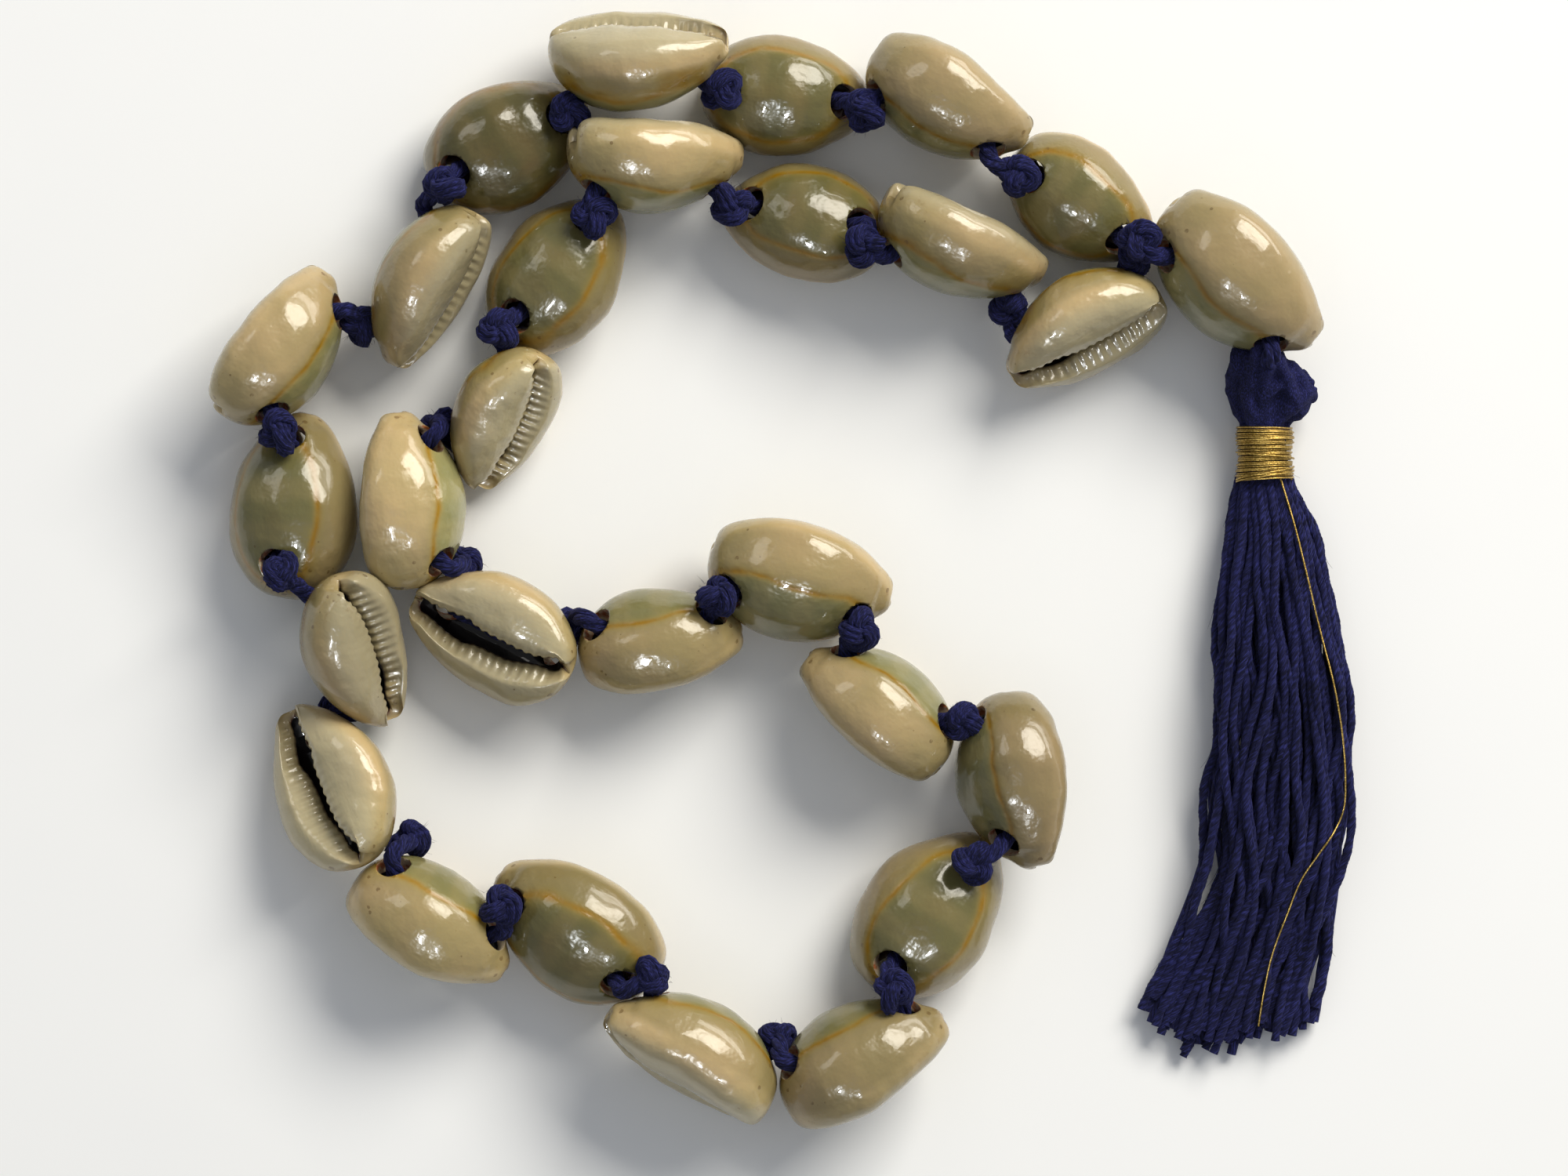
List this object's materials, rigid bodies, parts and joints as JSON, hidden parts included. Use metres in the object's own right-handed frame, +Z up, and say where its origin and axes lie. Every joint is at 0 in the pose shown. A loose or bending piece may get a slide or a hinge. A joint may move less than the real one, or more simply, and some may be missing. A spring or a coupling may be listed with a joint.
{
  "type": "cowrie shell necklace",
  "caption": "Necklace of polished cowrie shells on a knotted indigo cotton cord, with a large shell, a gold-bound head and a long cotton tassel.",
  "frame": {"origin": "middle of the necklace's outline as it lies, on the surface that it rests on", "axes": "+X across the loop towards the tassel, +Y from the tassel's cut end towards the large shell, +Z up from the surface"},
  "size_m": [0.1466, 0.1422, 0.0183],
  "materials": {
    "shell": "gloss",
    "cotton": "matte",
    "gold_thread": "satin"
  },
  "bodies": {
    "root": {"shell_01": "shell", "shell_02": "shell", "shell_03": "shell", "shell_04": "shell", "shell_05": "shell", "shell_06": "shell", "shell_07": "shell", "shell_08": "shell", "shell_09": "shell", "shell_10": "shell", "shell_11": "shell", "shell_12": "shell", "shell_13": "shell", "shell_14": "shell", "shell_15": "shell", "shell_16": "shell", "shell_17": "shell", "shell_18": "shell", "shell_19": "shell", "shell_20": "shell", "shell_21": "shell", "shell_22": "shell", "shell_23": "shell", "shell_24": "shell", "shell_25": "shell", "shell_26": "shell", "shell_27": "shell", "guru_shell": "shell", "knotted_cord": "cotton", "tassel": "cotton", "gold_binding": "gold_thread"}
  },
  "joints": []
}
